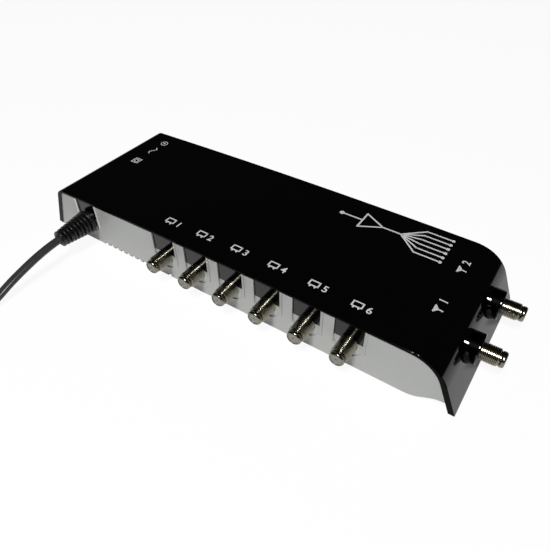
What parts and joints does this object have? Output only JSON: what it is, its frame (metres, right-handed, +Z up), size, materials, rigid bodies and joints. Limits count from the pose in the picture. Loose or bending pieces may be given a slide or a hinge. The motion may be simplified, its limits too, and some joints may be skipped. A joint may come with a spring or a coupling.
{
  "type": "coaxial splitter",
  "caption": "Mains-powered aerial splitter: flat black case on a silver tray, threaded coaxial outputs along the front, inputs at one end, flat lead with plug.",
  "frame": {"origin": "on the ground, below the middle of the case with its sockets, without the lead", "axes": "+Z up, +X towards the input end, -Y towards the outputs and the lead"},
  "size_m": [0.341, 0.2997, 0.0427],
  "materials": {
    "gloss_black": "high gloss black",
    "silver_tray": "satin silver",
    "board_green": "solder mask",
    "tinned_steel": "tinned",
    "ferrite": "matt",
    "black_package": "moulded",
    "chip_ceramic": "matt",
    "lamination_steel": "varnished stack",
    "bobbin_nylon": "natural nylon",
    "enamelled_copper": "wound enamelled wire",
    "fuse_sleeve": "woven sleeve",
    "capacitor_sleeve": "shrink sleeve",
    "heat_sink_aluminium": "extruded",
    "zinc_screw": "zinc plated",
    "brown_insulation": "extruded",
    "blue_insulation": "extruded",
    "yellow_insulation": "extruded",
    "foot_rubber": "matt",
    "boot_rubber": "moulded",
    "lead_sheath": "extruded, satin",
    "plug_plastic": "moulded",
    "plug_brass": "plain",
    "fuse_ceramic": "glazed",
    "contact_gold": "flashed",
    "nickel_shell": "nickel plated",
    "socket_insulator": "moulded"
  },
  "bodies": {
    "root": {"amplifier_transistors": "black_package", "base_tray": "silver_tray", "board_screws": "zinc_screw", "bridge_rectifier": "black_package", "chip_parts": "chip_ceramic", "circuit_board": "board_green", "cord_clamp": "black_package", "cord_clamp_screws": "zinc_screw", "cover_screws": "zinc_screw", "heat_sink": "heat_sink_aluminium", "input_socket_insulator_1": "socket_insulator", "input_socket_insulator_2": "socket_insulator", "input_socket_shell_1": "nickel_shell", "input_socket_shell_2": "nickel_shell", "mains_core_live": "brown_insulation", "mains_core_neutral": "blue_insulation", "mains_lead": "lead_sheath", "mains_lead_coil": "lead_sheath", "mains_lead_tail": "lead_sheath", "output_socket_insulator_1": "socket_insulator", "output_socket_insulator_2": "socket_insulator", "output_socket_insulator_3": "socket_insulator", "output_socket_insulator_4": "socket_insulator", "output_socket_insulator_5": "socket_insulator", "output_socket_insulator_6": "socket_insulator", "output_socket_shell_1": "nickel_shell", "output_socket_shell_2": "nickel_shell", "output_socket_shell_3": "nickel_shell", "output_socket_shell_4": "nickel_shell", "output_socket_shell_5": "nickel_shell", "output_socket_shell_6": "nickel_shell", "plug_body": "plug_plastic", "plug_fuse": "fuse_ceramic", "plug_fuse_carrier": "plug_plastic", "plug_pins": "plug_brass", "primary_leads": "brown_insulation", "primary_winding": "enamelled_copper", "rubber_feet": "foot_rubber", "screening_can": "tinned_steel", "screening_lid": "tinned_steel", "secondary_leads": "yellow_insulation", "secondary_winding": "enamelled_copper", "smoothing_capacitors": "capacitor_sleeve", "socket_contacts": "contact_gold", "splitter_ferrites": "ferrite", "strain_relief_boot": "boot_rubber", "terminal_block": "bobbin_nylon", "terminal_screws": "zinc_screw", "thermal_fuse": "fuse_sleeve", "top_cover": "gloss_black", "transformer_bobbin": "bobbin_nylon", "transformer_core": "lamination_steel", "transformer_screws": "zinc_screw", "transformer_strap": "tinned_steel", "voltage_regulator": "black_package"}
  },
  "joints": []
}
